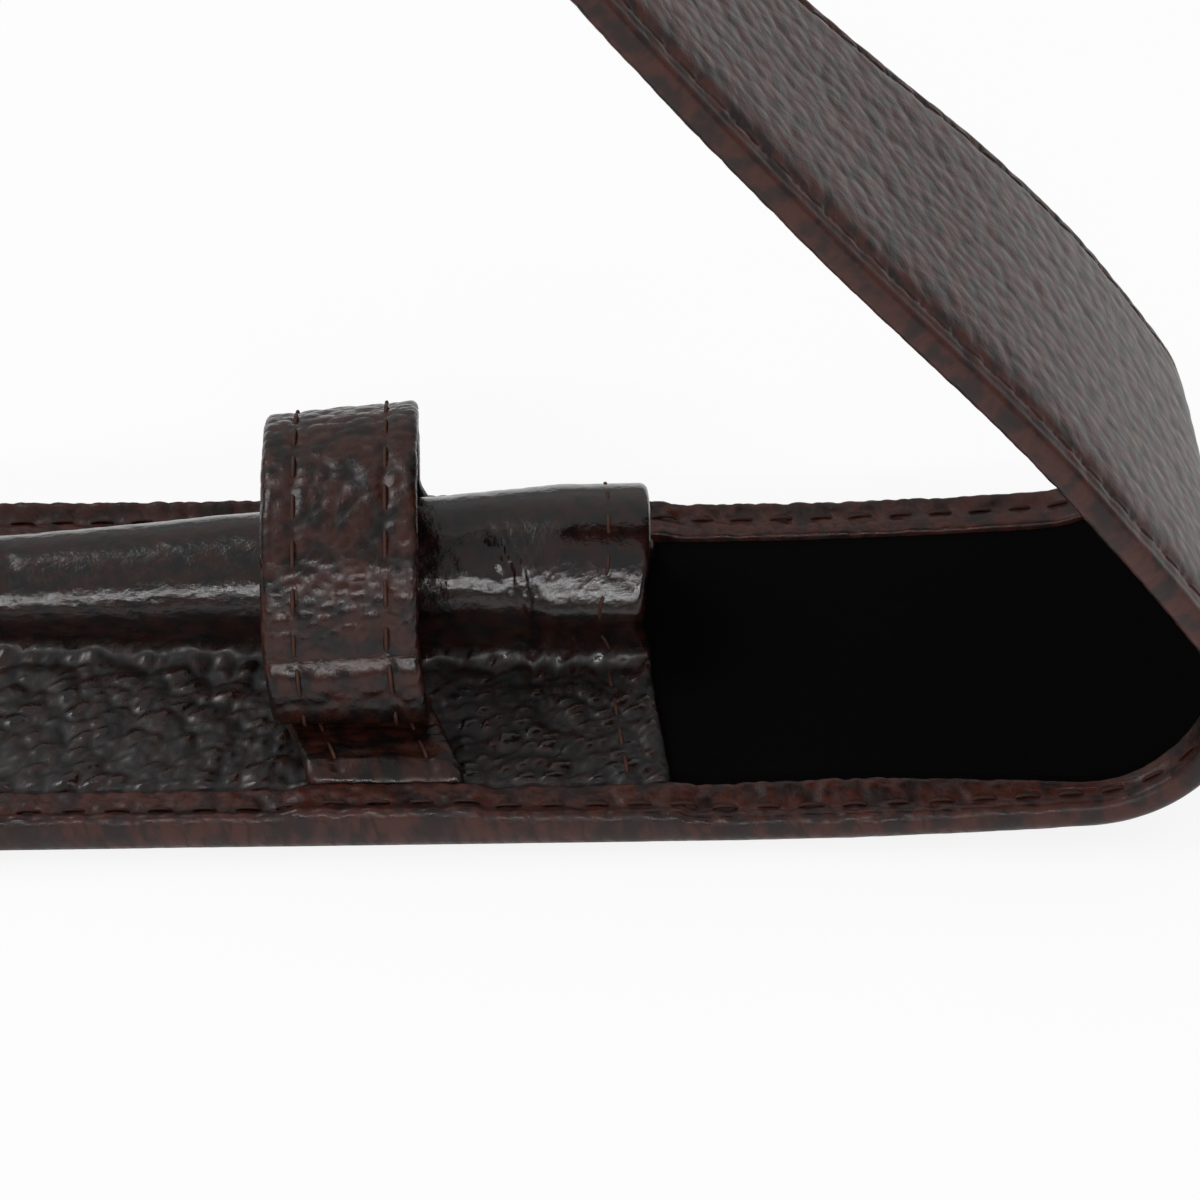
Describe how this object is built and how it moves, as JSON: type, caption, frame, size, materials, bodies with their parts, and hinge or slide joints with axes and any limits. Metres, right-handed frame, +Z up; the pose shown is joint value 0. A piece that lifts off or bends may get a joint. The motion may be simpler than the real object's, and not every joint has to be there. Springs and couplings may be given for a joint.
{
  "type": "pen sleeve",
  "caption": "Slim turned-edge leather sleeve for a pen, with a raised channel in its pocket, a standing keeper loop and a long flap that folds over and tucks into the loop.",
  "frame": {"origin": "on the underside, on the centre line below the pocket's mouth", "axes": "+X along the sleeve towards the fold, +Y across towards the side the pen channel is nearer, +Z up from the table"},
  "size_m": [0.1674, 0.042, 0.0911],
  "materials": {
    "leather": "two-tone pebble-grain leather, near-black peaks over red-brown valleys, semi-gloss",
    "front_leather": "the same leather with a coarse creased grain, glossy",
    "suede": "matt black suede-like lining",
    "stiffener": "bonded leather fibre board, matt",
    "thread": "waxed brown thread"
  },
  "bodies": {
    "sleeve": {"back_leather": "leather", "back_core": "stiffener", "back_lining": "suede", "back_thread": "thread", "pocket_leather": "front_leather", "pocket_lining": "suede", "mouth_thread": "thread", "loop_leather": "leather", "loop_lining": "suede", "loop_thread": "thread"},
    "fold_1": {"fold_1_leather": "leather", "fold_1_core": "stiffener", "fold_1_lining": "suede", "fold_1_thread": "thread"},
    "fold_2": {"fold_2_leather": "leather", "fold_2_core": "stiffener", "fold_2_lining": "suede", "fold_2_thread": "thread"},
    "flap": {"flap_leather": "leather", "flap_core": "stiffener", "flap_lining": "suede", "flap_thread": "thread"}
  },
  "joints": [
    {"name": "flap_fold", "type": "hinge", "parent": "sleeve", "child": "fold_1", "pos_m": [0.03847, 0, 0.00348], "axis": [0, -1, 0], "range_deg": [-41, 13], "stiffness_Nm_per_rad": 0.1, "springref_deg": -0.83},
    {"name": "flap_fold_middle", "type": "hinge", "parent": "fold_1", "child": "fold_2", "pos_m": [0.04422, 0, 0.00904], "axis": [0, -1, 0], "range_deg": [-41, 13], "stiffness_Nm_per_rad": 0.1, "springref_deg": -0.83},
    {"name": "flap_fold_end", "type": "hinge", "parent": "fold_2", "child": "flap", "pos_m": [0.04506, 0, 0.017], "axis": [0, -1, 0], "range_deg": [-41, 13], "stiffness_Nm_per_rad": 0.1, "springref_deg": -0.83}
  ],
  "couplings": [
    {"joint": "flap_fold_middle", "follows": "flap_fold", "ratio": 1},
    {"joint": "flap_fold_end", "follows": "flap_fold", "ratio": 1}
  ]
}
